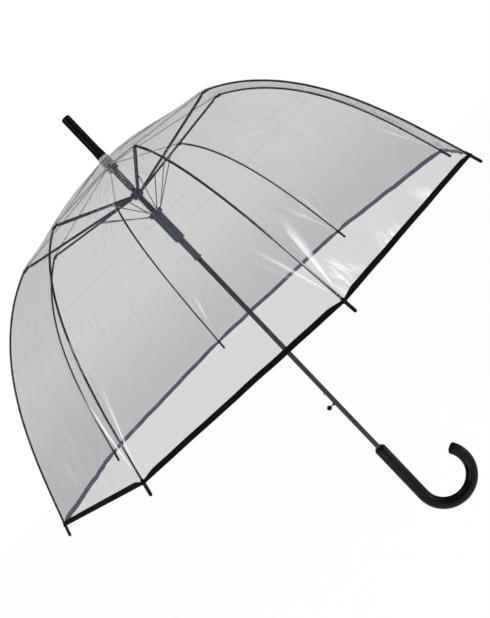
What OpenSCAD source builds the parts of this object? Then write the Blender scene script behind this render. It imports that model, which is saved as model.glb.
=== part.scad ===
// Clear dome umbrella: a hook handle, a steel shaft, eight folding ribs and a clear film canopy in eight gores.
// Millimetres. +Z runs up the shaft towards the ferrule; the origin is the centre of the grip on the shaft's axis.

/* [Canopy] */
// radius of the canopy at its rim
rim_radius = 420; // [300:600]
// height of the rim above the grip's centre
rim_height = 312; // [240:420]
// angle of the first rib round the shaft
rib_phase = 11.7; // [0:45]
// thickness of the clear film
film_thickness = 0.25; // [0.1:0.05:0.6]
// gap between the ribs' rods and the film
film_gap = 0.35; // [0.2:0.05:1]
// share of the lower rib where the film's middle panel ends
film_split = 0.4; // [0.25:0.05:0.6]
// gap between neighbouring film panels
panel_gap = 0.3; // [0.2:0.05:1]
// width of the binding tape at the rim
tape_width = 10; // [6:16]
// thickness the binding tape adds to the film
tape_thickness = 0.4; // [0.2:0.1:1]

/* [Ribs] */
// heading of the lower rib at the shoulder, from straight down
heading_top = 68.7; // [55:80]
// heading of the lower rib at the rim, from straight down
heading_rim = 20; // [5:35]
// how fast the lower rib straightens towards the rim
heading_power = 2.07; // [1.2:0.1:3]
// radius of the upper rib's rod
upper_rod_radius = 1.1; // [0.8:0.1:1.6]
// radius of the lower rib's rod
lower_rod_radius = 1.3; // [0.8:0.1:1.8]
// distance of the rods above the line of their pivots
rod_lift = 1.8; // [1.6:0.1:3]
// length of the plastic tip beyond the rim
tip_length = 17; // [8:30]
// radius of the plastic tip
tip_radius = 2.3; // [1.8:0.1:4]
// length of the tip's socket on the rod
tip_socket = 6; // [4:12]
// height of the ring on the tip
tip_ring = 0.7; // [0.3:0.1:1.5]
// gap between the tip and the film's corners
tip_gap = 0.15; // [0.1:0.05:1]
// height of the film clips on the rods
clip_rise = 0.22; // [0.1:0.02:0.3]
// length of the film clips on the rods
clip_length = 3; // [2:8]

/* [Frame linkage] */
// height of the top notch's pivots above the grip's centre
notch_height = 653; // [500:800]
// wall of the notch and the collar between the shaft and the slots
hub_wall = 1.88; // [1:0.02:4]
// room behind each pivot in the slots of the notch and the collar
slot_depth = 2.1; // [1.9:0.1:3]
// width of the notch's slots, for the upper ribs' eyes
notch_slot = 2.2; // [1.8:0.1:3]
// width of the collar's slots, for the arms' eyes
collar_slot = 2.3; // [2.1:0.1:3]
// radius of the shoulder joints from the shaft's axis
shoulder_radius = 198; // [140:260]
// drop from the notch's pivots to the shoulder joints
shoulder_drop = 29; // [22:60]
// radius of the pivot pins
pin_radius = 0.6; // [0.4:0.1:1]
// running clearance round the pivot pins
pin_clearance = 0.07; // [0.03:0.01:0.1]
// width of the channel section of the arms
arm_width = 4.2; // [3.6:0.1:5]
// sheet thickness of the arms
arm_sheet = 0.5; // [0.4:0.1:1]
// distance of the push wire's pivot along the arm
wire_pivot_along = 73; // [50:100]
// radius of the push wires
wire_radius = 0.8; // [0.6:0.1:1]
// gap between the push wires and the sides of the arms
wire_gap = 0.3; // [0.2:0.1:1]

/* [Shaft] */
// outer radius of the shaft
shaft_radius = 4; // [3:0.5:6]
// wall of the shaft tube
shaft_wall = 0.6; // [0.4:0.1:1.2]
// running clearance of the sliding pieces on the shaft
slide_clearance = 0.06; // [0.02:0.01:0.1]
// clearance of the pieces fixed on the shaft
fixed_clearance = 0.02; // [0.01:0.01:0.05]
// depth of the shaft in the ferrule
ferrule_socket = 40; // [20:60]
// depth of the shaft in the handle
handle_socket = 92; // [40:100]

/* [Crown] */
// rim of the top notch outside its pivots
notch_rim = 1; // [0.9:0.1:5]
// height of the top notch below its pivots
notch_skirt = 7.5; // [4:0.5:12]
// height of the top notch above its pivots
notch_cap = 3.4; // [2:0.1:6]
// length of the bush below the top notch
bush_length = 38; // [20:42]
// wall of that bush
bush_wall = 1.3; // [0.8:0.1:1.6]
// wall of the crown washer inside the groove that holds the film
washer_wall = 1.98; // [1:0.02:4]
// width of the crown washer's flanges outside that groove
washer_flange = 3; // [2:0.1:6]
// length of the crown washer above the film
washer_rise = 6.5; // [5.5:0.5:12]
// height of the film's apex above the notch's pivots
apex_rise = 13; // [9:20]
// length of the ferrule
ferrule_length = 81; // [40:120]
// wall of the ferrule round the shaft
ferrule_wall = 3.38; // [1.5:0.02:5]
// flare at the ferrule's foot
ferrule_flare = 0.9; // [0:0.1:3]

/* [Sliders] */
// rim of the collar outside its pivots
collar_rim = 1; // [0.9:0.1:1.2]
// height of the collar
collar_length = 12; // [8:16]
// distance from the collar's pivots down to the runner's pivots
runner_drop = 40; // [34:60]
// rim of the runner's flange outside its pivots
flange_rim = 1.7; // [1.2:0.1:3]
// half the height of the runner's flange
flange_half = 3.5; // [2.5:0.5:6]
// distance of the runner's pivots outside its body
runner_pivot_out = 1.4; // [1.2:0.1:3]
// wall of the runner's body round the spring
runner_wall = 1.9; // [1:0.1:3]
// length of the runner's body below its flange
runner_length = 51.5; // [40:70]
// wall of the runner's sleeve
sleeve_wall = 1.34; // [0.5:0.01:1.5]
// length of the sleeve below the runner's body
sleeve_length = 40; // [25:60]
// gap between the shaft and the opening spring
spring_room = 1.1; // [0.6:0.1:2]
// gap between the opening spring and the pocket round it
pocket_gap = 0.4; // [0.3:0.1:1]
// radius of the opening spring's wire
spring_wire = 0.5; // [0.3:0.1:0.8]
// turns of the opening spring
spring_turns = 13; // [8:18]

/* [Release] */
// height of the sleeve's window above the sleeve's end
window_rise = 9.97; // [6:0.01:20]
// distance of the button below the catch
button_drop = 20; // [15:40]
// distance of the button's centre outside the shaft
button_out = 9.5; // [8:0.5:14]
// radius of the button's stem and of the hole in its guide
stem_radius = 1.1; // [0.9:0.1:1.6]
// radius of the release button
button_radius = 4; // [3:0.5:5]
// travel of the release button
button_travel = 3.3; // [2:0.1:4]

/* [Handle] */
// radius of the handle's tube
handle_radius = 9.7; // [8:0.1:14]
// length of the handle's straight grip
grip_length = 105; // [80:140]
// radius of the hook's centre line
hook_radius = 44.4; // [35:60]
// angle the hook turns through
hook_sweep = 215; // [150:235]

/* [Hidden] */
$fn = 64;
ribs = 8;
half = 180 / ribs;
shaft_bottom = grip_length / 2 - handle_socket;
grip_top = grip_length / 2;
fixed_bore = shaft_radius + fixed_clearance;
slide_bore = shaft_radius + slide_clearance;
pivot_circle = fixed_bore + hub_wall + slot_depth;
notch_radius = pivot_circle + notch_rim;
collar_radius = pivot_circle + collar_rim;
sleeve_radius = slide_bore + sleeve_wall;
spring_radius = shaft_radius + spring_room + spring_wire;
pocket_radius = spring_radius + spring_wire + pocket_gap;
runner_radius = pocket_radius + runner_wall;
runner_pivot_radius = runner_radius + runner_pivot_out;
flange_radius = runner_pivot_radius + flange_rim;
ferrule_radius = fixed_bore + ferrule_wall;
groove_radius = fixed_bore + washer_wall;
washer_radius = groove_radius + washer_flange;
film_hole = groove_radius + 0.25;
button_reach = shaft_radius + button_out;
wire_side = arm_width / 2 + wire_gap + wire_radius;

// the folding linkage: an isosceles pair of links on one line of pivots
upper_length = norm([shoulder_radius - pivot_circle, shoulder_drop]);
fold_angle = atan2(shoulder_radius - pivot_circle, shoulder_drop);
collar_height = notch_height - 2 * shoulder_drop;
shoulder = [shoulder_radius, notch_height - shoulder_drop];
arm_pitch = 90 - fold_angle;
arm_depth_top = 1.4;
arm_depth_low = 1.8;
wire_pivot_low = 1.2;
ear_radius = 1.9;
link_gap = 0.25;
// the shoulder's stack along its pin: rib eye inside, arm ears, then the lower rib's fork
eye_half = 0.7;
ear_in = eye_half + link_gap;
ear_out = ear_in + arm_sheet;
fork_in = ear_out + link_gap;
fork_out = fork_in + 0.6;
fork_bridge = 4;
fork_end = 9;
wire_top = [pivot_circle + wire_pivot_along * cos(arm_pitch) + wire_pivot_low * sin(arm_pitch),
            collar_height + wire_pivot_along * sin(arm_pitch) - wire_pivot_low * cos(arm_pitch)];
runner_height = collar_height - runner_drop;
wire_low = [runner_pivot_radius, runner_height];
wire_length = norm(wire_top - wire_low);
// where the runner's pivots come to when the canopy is folded
folded_collar = notch_height - 2 * upper_length;
folded_runner = folded_collar + wire_pivot_along
    - sqrt(pow(wire_length, 2) - pow(pivot_circle + wire_pivot_low - runner_pivot_radius, 2));
runner_travel = runner_height - folded_runner;
runner_bottom = runner_height - flange_half - runner_length;
sleeve_bottom = runner_bottom - sleeve_length;
// the window lies over the catch when the canopy is folded
tooth_room = 0.8;
catch_height = sleeve_bottom + window_rise + tooth_room - runner_travel;
button_height = catch_height - button_drop;

// the lower rib's curve: five arcs that meet on a common tangent
arcs = 5;
function heading(s) = heading_rim + (heading_top - heading_rim) * pow(1 - s, heading_power);
function arc_step(a, b, n) = (1 / n) / ((a - b) * PI / 180) * [cos(b) - cos(a), sin(b) - sin(a)];
function chain(j) = j == 0 ? [0, 0]
    : chain(j - 1) + arc_step(heading((j - 1) / arcs), heading(j / arcs), arcs);
rod_start = shoulder + rod_lift * [cos(heading_top), sin(heading_top)];
rod_end = [rim_radius - lower_rod_radius - film_gap - film_thickness, rim_height];
span = rod_end - rod_start;
unit = chain(arcs);
rib_length = norm(span) / norm(unit);
swing = atan2(unit[1], unit[0]) - atan2(span[1], span[0]);
function node_at(j) = let (p = chain(j)) rod_start + rib_length
    * [p[0] * cos(swing) + p[1] * sin(swing), -p[0] * sin(swing) + p[1] * cos(swing)];
function turn_at(s) = heading(s) - swing;
function curve(s) = let (j = min(arcs - 1, floor(s * arcs)), a = turn_at(j / arcs), b = turn_at((j + 1) / arcs),
    u = s * arcs - j, h = a + (b - a) * u, r = rib_length / arcs / ((a - b) * PI / 180))
    node_at(j) + r * [cos(h) - cos(a), sin(h) - sin(a)];
function curve_turn(s) = let (j = min(arcs - 1, floor(s * arcs)), a = turn_at(j / arcs), b = turn_at((j + 1) / arcs))
    a + (b - a) * (s * arcs - j);
function off(s, e) = curve(s) + e * [cos(curve_turn(s)), sin(curve_turn(s))];
skin = lower_rod_radius + film_gap;
notch_half = tip_radius + tip_ring + tip_gap;
flat = cos(half);
function gore(p) = [p[0] * flat, p[1]];

// helpers
module at_rib(i) { rotate([0, 0, rib_phase + 45 * (i - 1)]) children(); }
module at_gore(i) { rotate([0, 0, rib_phase + 45 * (i - 1) + half]) children(); }
module across(p, r, y0, y1) { translate([p[0], y0, p[1]]) rotate([-90, 0, 0]) cylinder(r = r, h = y1 - y0); }
module plate(y0, y1) { translate([0, y1, 0]) rotate([90, 0, 0]) linear_extrude(y1 - y0) children(); }
// puts +X along a link that starts at p and rises by a degrees
module along(p, a) { translate([p[0], 0, p[1]]) rotate([0, -a, 0]) children(); }
module tube(r, hole, z0, z1) {
    translate([0, 0, z0]) difference() {
        cylinder(r = r, h = z1 - z0);
        translate([0, 0, -1]) cylinder(r = hole, h = z1 - z0 + 2);
    }
}
module wedge(gap) {
    s = gap / 2 / sin(half);
    reach = 700;
    translate([s, 0, -500]) linear_extrude(1500)
        polygon([[0, 0], [reach, -reach * tan(half)], [reach, reach * tan(half)]]);
}
module strip(points, gap) {
    intersection() {
        plate(-300, 300) polygon(points);
        wedge(gap);
    }
}
module arc_rod(j, r, trim = 0) {
    a = turn_at(j / arcs);
    b = turn_at((j + 1) / arcs);
    big = rib_length / arcs / ((a - b) * PI / 180);
    c = node_at(j) - big * [cos(a), sin(a)];
    translate([c[0], 0, c[1]]) rotate([90, 0, 0]) rotate([0, 0, b])
        rotate_extrude(angle = (a - b) * (1 - trim * arcs / rib_length)) translate([big, 0]) circle(r);
}

// shaft: a steel tube with the catch's slot and the button's guide
module shaft() {
    color([0.05, 0.05, 0.055]) difference() {
        union() {
            translate([0, 0, shaft_bottom])
                cylinder(r = shaft_radius, h = shaft_top - shaft_bottom);
            translate([-shaft_radius - 1.6, 0, button_height]) rotate([0, 90, 0])
                cylinder(r = stem_radius + 1.3, h = 1.6 + shaft_wall);
        }
        translate([0, 0, shaft_bottom - 1])
            cylinder(r = shaft_radius - shaft_wall, h = shaft_top - shaft_bottom + 2);
        translate([-shaft_radius - 3, 0, button_height]) rotate([0, 90, 0]) cylinder(r = stem_radius, h = 4);
        translate([-shaft_radius - 1, -1.6, catch_height - 1.4]) cube([2.4, 3.2, 8.4]);
    }
}
ferrule_bottom = notch_height + apex_rise + washer_rise;
shaft_top = ferrule_bottom + ferrule_socket;

// handle: straight grip, stepped top ring and a hook on +X
module handle() {
    color([0.02, 0.02, 0.022]) difference() {
        union() {
            rotate_extrude() polygon([[0, -grip_length / 2], [handle_radius, -grip_length / 2],
                [handle_radius, grip_top - 4], [handle_radius - 0.8, grip_top - 2.4],
                [handle_radius - 2.2, grip_top - 2.4], [handle_radius - 2.6, grip_top], [0, grip_top]]);
            translate([hook_radius, 0, -grip_length / 2]) rotate([90, 0, 0]) rotate([0, 0, 180])
                rotate_extrude(angle = hook_sweep - 6) translate([hook_radius, 0]) circle(handle_radius);
            translate([hook_radius, 0, -grip_length / 2]) rotate([90, 0, 0]) rotate([0, 0, hook_sweep - 186])
                translate([hook_radius, 0, 0]) rotate([-90, 0, 0]) rotate_extrude()
                    polygon([[0, -2], [handle_radius - 2, -2], [handle_radius - 2, 0], [handle_radius, 0],
                             [handle_radius, 1.6], [handle_radius - 0.9, 3.6], [handle_radius - 3, 4.6], [0, 4.6]]);
        }
        translate([0, 0, shaft_bottom - 1]) cylinder(r = fixed_bore, h = handle_socket + 2);
    }
}

// ferrule: the solid plastic point over the shaft's top
module ferrule() {
    color([0.02, 0.02, 0.022]) difference() {
        rotate_extrude() polygon([[0, ferrule_bottom], [ferrule_radius + ferrule_flare, ferrule_bottom],
            [ferrule_radius + 0.7 * ferrule_flare - 0.01, ferrule_bottom + 5], [ferrule_radius, ferrule_bottom + 14],
            [ferrule_radius, ferrule_bottom + ferrule_length - 2.2],
            [ferrule_radius - 0.7, ferrule_bottom + ferrule_length - 0.7],
            [ferrule_radius - 2.2, ferrule_bottom + ferrule_length], [0, ferrule_bottom + ferrule_length]]);
        translate([0, 0, ferrule_bottom - 1])
            cylinder(r = fixed_bore, h = ferrule_socket + 1 + fixed_clearance);
    }
}

// crown washer: the ringed clear spacer that grips the film's apex in its top groove
notch_top = notch_height + notch_cap;
apex = notch_height + apex_rise;
module crown_washer() {
    b = fixed_bore;
    w = washer_radius;
    g = groove_radius;
    color([0.8, 0.82, 0.85, 0.7]) rotate_extrude() polygon([
        [b, notch_top + 0.1], [w, notch_top + 0.1], [w, notch_top + 3], [w - 1.6, notch_top + 3.6],
        [w, notch_top + 4.6], [w, apex - 1.6], [w - 1.4, apex - 0.7], [g, apex - 0.7], [g, apex + 0.7],
        [w + 0.4, apex + 0.7], [w - 0.4, apex + 4.4], [w - 1.2, ferrule_bottom - 0.1],
        [b, ferrule_bottom - 0.1]]);
}

module slots(z0, z1, inner, width) {
    for (i = [1:8]) at_rib(i) translate([inner, -width / 2, z0]) cube([20, width, z1 - z0]);
}
module pins(r, z, y0, y1) { for (i = [1:8]) at_rib(i) across([r, z], pin_radius, y0, y1); }

// top notch: the slotted ring that the upper ribs pivot in, with a bush down the shaft
module top_notch() {
    color([0.55, 0.56, 0.58]) {
        difference() {
            tube(notch_radius, fixed_bore, notch_height - notch_skirt, notch_top);
            slots(notch_height - notch_skirt - 1.5, notch_top + 1, pivot_circle - slot_depth, notch_slot);
        }
        pins(pivot_circle, notch_height, -1.5, 1.5);
        tube(fixed_bore + bush_wall, fixed_bore, notch_height - notch_skirt - bush_length,
             notch_height - notch_skirt + 1);
    }
}

// collar: the upper slider that the arms pivot in
module collar() {
    color([0.1, 0.1, 0.12]) {
        difference() {
            tube(collar_radius, slide_bore, collar_height - collar_length / 2 + 1,
                 collar_height + collar_length / 2 + 1);
            slots(collar_height - collar_length, collar_height + collar_length, pivot_circle - slot_depth,
                  collar_slot);
        }
        pins(pivot_circle, collar_height, -1.5, 1.5);
        tube(pocket_radius, slide_bore, collar_bottom, collar_bottom + 2);
    }
}
collar_bottom = collar_height - collar_length / 2;

// opening spring between the collar and the seat inside the runner
seat_depth = 28.5;
spring_low = runner_height + flange_half - seat_depth + spring_wire;
spring_high = collar_bottom - spring_wire;
module main_spring() {
    seg = 16;
    sides = 6;
    n = spring_turns * seg;
    pitch = (spring_high - spring_low) / spring_turns;
    rise = atan2(pitch, 2 * PI * spring_radius);
    points = [for (k = [0:n]) for (m = [0:sides - 1])
        let (a = 360 * k / seg, q = 360 * m / sides, w = spring_wire * 0.98,
             r = spring_radius + w * cos(q), v = w * sin(q))
        [r * cos(a) + v * sin(rise) * sin(a), r * sin(a) - v * sin(rise) * cos(a),
         spring_low + pitch * k / seg + v * cos(rise)]];
    faces = concat([[for (m = [0:sides - 1]) m]], [[for (m = [0:sides - 1]) n * sides + sides - 1 - m]],
        [for (k = [0:n - 1]) for (m = [0:sides - 1]) let (m2 = (m + 1) % sides)
            [k * sides + m, (k + 1) * sides + m, (k + 1) * sides + m2, k * sides + m2]]);
    color([0.35, 0.36, 0.38]) polyhedron(points, faces, convexity = 20);
}

// runner: flange for the push wires over a body that holds the spring
sleeve_hold = 15;
module runner() {
    color([0.06, 0.065, 0.08]) {
        difference() {
            union() {
                translate([0, 0, runner_height - flange_half])
                    cylinder(r = flange_radius, h = 2 * flange_half);
                translate([0, 0, runner_bottom]) cylinder(r = runner_radius, h = runner_length + 1);
            }
            translate([0, 0, runner_bottom - 1]) cylinder(r = slide_bore, h = runner_length + 12);
            translate([0, 0, runner_bottom - 1])
                cylinder(r = sleeve_radius + fixed_clearance, h = sleeve_hold + 1 + fixed_clearance);
            translate([0, 0, runner_height + flange_half - seat_depth])
                cylinder(r = pocket_radius, h = seat_depth + 1);
            for (i = [1:8]) at_rib(i)
                translate([runner_pivot_radius - 1.7, wire_side - wire_radius - 0.2,
                           runner_height - flange_half - 0.5])
                    cube([12, 2 * wire_radius + 0.4, 2 * flange_half + 2]);
        }
        pins(runner_pivot_radius, runner_height, wire_side - 1.6, wire_side + 1.5);
    }
}

// runner sleeve: the thin tube the catch holds, with its window and end ring
module runner_sleeve() {
    color([0.06, 0.065, 0.08]) difference() {
        union() {
            translate([0, 0, sleeve_bottom]) cylinder(r = sleeve_radius, h = sleeve_length + sleeve_hold);
            translate([0, 0, sleeve_bottom]) cylinder(r = sleeve_radius + 1.05, h = 3.5);
        }
        translate([0, 0, sleeve_bottom - 1]) cylinder(r = slide_bore, h = sleeve_length + sleeve_hold + 2);
        translate([-sleeve_radius - 2, -1.9, sleeve_bottom + window_rise])
            cube([sleeve_radius, 3.8, 6.6]);
    }
}

// release button: a round knob on a stem through the shaft's guide
module release_button() {
    color([0.02, 0.02, 0.022]) {
        translate([-button_reach, 0, button_height]) sphere(r = button_radius);
        translate([-button_reach, 0, button_height]) rotate([0, 90, 0])
            cylinder(r = stem_radius - slide_clearance, h = button_reach - leaf_outer - 0.05);
    }
}

// latch catch: a leaf inside the shaft with the tooth that holds the sleeve
leaf_outer = shaft_radius - shaft_wall - 0.45;
leaf_length = 48;
module latch_catch() {
    color([0.6, 0.61, 0.63]) {
        translate([-leaf_outer, -1.3, button_height - 3]) cube([0.4, 2.6, leaf_length]);
        translate([-leaf_outer, 0, catch_height]) rotate([90, 0, 0]) translate([0, 0, -1.3])
            linear_extrude(2.6) polygon([[0, 0], [0.2, 0], [0.2, 5], [0, 5],
                [-(shaft_radius + 0.2 - leaf_outer), 4.4], [-(shaft_radius + 1.6 - leaf_outer), 1.6],
                [-(shaft_radius + 1.6 - leaf_outer), 0]]);
    }
}

// upper rib: rod with a flat eye at the notch and at the shoulder
hole = pin_radius + pin_clearance;
module rib_upper(i) {
    color([0.06, 0.06, 0.065]) at_rib(i) along([pivot_circle, notch_height], -arm_pitch) difference() {
        union() {
            translate([4, 0, rod_lift]) rotate([0, 90, 0])
                cylinder(r = upper_rod_radius, h = upper_length - 8);
            plate(-eye_half, eye_half) {
                circle(1.5);
                polygon([[0, -1.1], [7, rod_lift - 0.9], [7, rod_lift + 0.9], [2, rod_lift + 0.9], [-0.6, 1.3]]);
                translate([upper_length, 0]) circle(1.7);
                polygon([[upper_length, -1.2], [upper_length + 0.9, 1.4], [upper_length - 2, rod_lift + 0.9],
                         [upper_length - 8, rod_lift + 0.9], [upper_length - 8, rod_lift - 0.9]]);
            }
        }
        across([0, 0], hole, -3, 3);
        across([upper_length, 0], hole, -3, 3);
    }
}

// lower rib: fork and pin at the shoulder, curved rod and plastic tip
module fork_side() {
    circle(ear_radius);
    polygon([[0, -ear_radius + 0.3], [fork_end, 0.4], [fork_end, rod_lift + 1], [1, ear_radius - 0.1]]);
}
module rib_lower(i) {
    color([0.02, 0.02, 0.022]) at_rib(i) {
        for (j = [0:arcs - 1]) arc_rod(j, lower_rod_radius, j == 0 ? fork_bridge + 0.5 : 0);
        // film clips, one where each two arcs of the rod meet
        for (j = [1:arcs - 1]) along(node_at(j), turn_at(j / arcs) - 90) rotate([0, 90, 0])
            cylinder(r = lower_rod_radius + clip_rise, h = clip_length, center = true);
        across(shoulder, pin_radius, -fork_out, fork_out);
        along(shoulder, turn_at(0) - 90) {
            for (m = [0, 1]) mirror([0, m, 0]) plate(fork_in, fork_out) fork_side();
            translate([fork_bridge, -fork_out, 0]) cube([fork_end - fork_bridge, 2 * fork_out, rod_lift + 1]);
        }
        along(rod_end, turn_at(1) - 90) {
            translate([-tip_socket, 0, 0]) rotate([0, 90, 0])
                cylinder(r = tip_radius, h = tip_length + tip_socket - 2);
            translate([-1.5, 0, 0]) rotate([0, 90, 0]) cylinder(r = tip_radius + tip_ring, h = 2);
            translate([tip_length - 2, 0, 0]) sphere(r = tip_radius);
        }
    }
}

// arm: channel link from the collar to the shoulder, with the push wire's pin
module arm(i) {
    w = arm_width / 2;
    wi = w - arm_sheet;
    q = upper_length;
    color([0.1, 0.11, 0.14]) at_rib(i) along([pivot_circle, collar_height], arm_pitch) difference() {
        union() {
            difference() {
                translate([8, -w, -arm_depth_low]) cube([q - 15, 2 * w, arm_depth_low + arm_depth_top]);
                translate([11, -wi, -arm_depth_low - 1])
                    cube([q, 2 * wi, arm_depth_low + 1 + arm_depth_top - arm_sheet]);
            }
            plate(-0.9, 0.9) {
                circle(1.6);
                translate([0, -1.2]) square([10, 2.4]);
            }
            for (m = [0, 1]) mirror([0, m, 0]) plate(ear_in, ear_out) {
                translate([q, 0]) circle(ear_radius);
                translate([q - 10, -1.2]) square([10, 2.4]);
            }
            translate([q - 10.5, -w, -1.2]) cube([3.5, 2 * w, 2.4]);
            across([wire_pivot_along, -wire_pivot_low], pin_radius, wi, wire_side + wire_radius + 0.4);
        }
        across([0, 0], hole, -4, 4);
        across([q, 0], hole, -4, 4);
    }
}

// push wire: thin link from the arm down to the runner's flange
module push_wire(i) {
    lift = atan2(wire_top[1] - wire_low[1], wire_top[0] - wire_low[0]);
    color([0.3, 0.31, 0.33]) at_rib(i) along(wire_low, lift) translate([0, wire_side, 0]) difference() {
        union() {
            rotate([0, 90, 0]) cylinder(r = wire_radius, h = wire_length);
            across([0, 0], 1.35, -wire_radius, wire_radius);
            across([wire_length, 0], 1.35, -wire_radius, wire_radius);
        }
        across([0, 0], hole, -3, 3);
        across([wire_length, 0], hole, -3, 3);
    }
}

// film: the top cone from the crown washer to the shoulders, in eight flat facets
module film_top() {
    a = [film_hole / flat, apex - film_thickness / 2];
    b = off(0, skin) - panel_gap * [sin(heading_top), -cos(heading_top)];
    t = film_thickness * [cos(80), sin(80)];
    color([0.8, 0.82, 0.85, 0.4]) difference() {
        for (i = [1:8]) at_gore(i) strip([gore(a), gore(b), gore(b + t), gore(a + t)], 0);
        translate([0, 0, apex - 20]) cylinder(r = film_hole, h = 40);
    }
}
steps = 24;
function strip_points(s0, s1, e0, e1) = concat(
    [for (k = [0:steps]) gore(off(s0 + (s1 - s0) * k / steps, e0))],
    [for (k = [steps:-1:0]) gore(off(s0 + (s1 - s0) * k / steps, e1))]);
// film: middle panel of one gore, from the shoulder line down
module film_mid(i) {
    color([0.8, 0.82, 0.85, 0.4]) at_gore(i)
        strip(strip_points(0, film_split - panel_gap / rib_length, skin, skin + film_thickness), panel_gap);
}
// film: lower panel of one gore, with the binding tape on its rim, notched at both rib tips
module film_low(i) {
    color([0.8, 0.82, 0.85, 0.4]) at_gore(i) difference() {
        union() {
            strip(strip_points(film_split, 1, skin, skin + film_thickness), panel_gap);
            strip(strip_points(1 - tape_width / rib_length, 1, skin + film_thickness / 2,
                               skin + film_thickness + tape_thickness), panel_gap);
        }
        for (m = [-1, 1]) rotate([0, 0, m * half]) along(rod_end, turn_at(1) - 90)
            translate([-tip_socket - tip_gap, -notch_half, -notch_half])
                cube([tip_socket + 6, 2 * notch_half, 2 * notch_half]);
    }
}

shaft();
handle();
ferrule();
crown_washer();
top_notch();
collar();
main_spring();
runner();
runner_sleeve();
release_button();
latch_catch();
film_top();
for (i = [1:8]) rib_upper(i);
for (i = [1:8]) rib_lower(i);
for (i = [1:8]) arm(i);
for (i = [1:8]) push_wire(i);
for (i = [1:8]) film_mid(i);
for (i = [1:8]) film_low(i);
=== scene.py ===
"""Looks of a clear dome umbrella with a hook handle, laid out as an add-on and run as a script."""

import math
import random

import bmesh
import bpy
import numpy as np
from bpy.props import FloatProperty, FloatVectorProperty, IntProperty, PointerProperty
from mathutils import Matrix, Vector


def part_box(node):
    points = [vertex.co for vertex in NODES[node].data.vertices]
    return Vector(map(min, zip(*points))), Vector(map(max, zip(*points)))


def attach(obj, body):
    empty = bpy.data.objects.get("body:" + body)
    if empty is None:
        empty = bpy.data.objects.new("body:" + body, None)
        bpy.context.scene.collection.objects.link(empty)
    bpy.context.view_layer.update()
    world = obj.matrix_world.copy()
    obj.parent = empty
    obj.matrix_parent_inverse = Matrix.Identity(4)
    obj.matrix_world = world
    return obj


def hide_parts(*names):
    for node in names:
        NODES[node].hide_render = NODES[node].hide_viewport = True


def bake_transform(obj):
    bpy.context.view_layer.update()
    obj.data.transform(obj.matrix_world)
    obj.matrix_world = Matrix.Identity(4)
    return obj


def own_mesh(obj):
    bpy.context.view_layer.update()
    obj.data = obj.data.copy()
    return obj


bl_info = {
    "name": "Clear Dome Umbrella",
    "version": (1, 0, 0),
    "blender": (4, 5, 0),
    "location": "3D View > Sidebar > Umbrella",
    "description": "Builds the film, ribs and finishes of a clear dome umbrella round its frame",
    "category": "Object",
}

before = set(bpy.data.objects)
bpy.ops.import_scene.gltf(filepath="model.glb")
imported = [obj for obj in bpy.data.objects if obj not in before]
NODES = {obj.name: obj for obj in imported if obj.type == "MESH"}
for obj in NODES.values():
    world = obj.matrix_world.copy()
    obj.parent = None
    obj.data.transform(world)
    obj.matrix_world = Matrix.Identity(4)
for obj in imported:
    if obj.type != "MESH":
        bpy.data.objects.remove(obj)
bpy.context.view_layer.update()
GORES = 8
HALF = math.pi / GORES


# ---------------------------------------------------------------- sizes taken from the frame
def low(node):
    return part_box(node)[0]


def high(node):
    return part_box(node)[1]


# the driving sizes that the frame was drawn with, in metres and radians
RIM_HEIGHT = 0.312
RIM_RADIUS = 0.420
PHASE = math.radians(11.7)
SHOULDER = (0.198, 0.624)
ROD_LIFT = 0.0018
APEX = 0.666
FILM_HOLE = 0.00625


def srgb(code):
    """The linear colour of an sRGB hex code."""
    out = []
    for k in (0, 2, 4):
        c = int(code[k : k + 2], 16) / 255
        out.append(c / 12.92 if c <= 0.04045 else ((c + 0.055) / 1.055) ** 2.4)
    return tuple(out)


def colour(name, code, text):
    return FloatVectorProperty(
        name=name, description=text, subtype="COLOR", size=3, min=0, max=1, default=srgb(code)
    )


def size(name, value, text, low=0.0, high=2.0):
    return FloatProperty(
        name=name, description=text, default=value, min=low, max=high, unit="LENGTH", precision=4
    )


def share(name, value, text):
    return FloatProperty(name=name, description=text, default=value, min=0, max=1, subtype="FACTOR")


class CanopySizes(bpy.types.PropertyGroup):
    thickness: size("Film thickness", 0.00025, "Thickness of the clear film", 0.0001, 0.001)
    slack: size("Slack", 0.0028, "How far the film sags in between two ribs", 0, 0.02)
    crown: size("Crown", 0.007, "How far the film swells between two upper ribs", 0, 0.02)
    ripple: size("Ripple", 0.0009, "Height of the soft waves in the film", 0, 0.005)
    pucker: size("Pucker", 0.0011, "Height of the waves along the bound rim", 0, 0.005)
    tape_width: size("Tape width", 0.0074, "Width of the binding in the middle of a gore", 0.004, 0.02)
    tape_nip: size("Tape nip", 0.0042, "Width of the binding where a tip gathers it", 0.002, 0.02)
    tape_thickness: size("Tape thickness", 0.0011, "Thickness of the folded binding", 0.0004, 0.003)
    across: IntProperty(name="Faces across", description="Faces across one gore", default=64, min=8, max=160)
    cell: size("Cell", 0.005, "Length of one face of the film along a rib", 0.002, 0.02)


class RibSizes(bpy.types.PropertyGroup):
    rod_radius: size("Rod radius", 0.0013, "Radius of the lower ribs' rods", 0.0005, 0.003)
    tip_radius: size("Tip radius", 0.0023, "Radius of the plastic tips", 0.001, 0.006)
    tip_length: size("Tip length", 0.017, "Length of the tips beyond the rim", 0.005, 0.04)
    sides: IntProperty(name="Sides", description="Faces round one rod", default=14, min=6, max=48)


class SpringSizes(bpy.types.PropertyGroup):
    coil_radius: size("Coil radius", 0.0056, "Mean radius of the opening spring", 0.004, 0.01)
    wire_radius: size("Wire radius", 0.0005, "Radius of the spring's wire", 0.0002, 0.002)
    turns: IntProperty(name="Turns", description="Turns of the opening spring", default=13, min=4, max=30)


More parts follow.
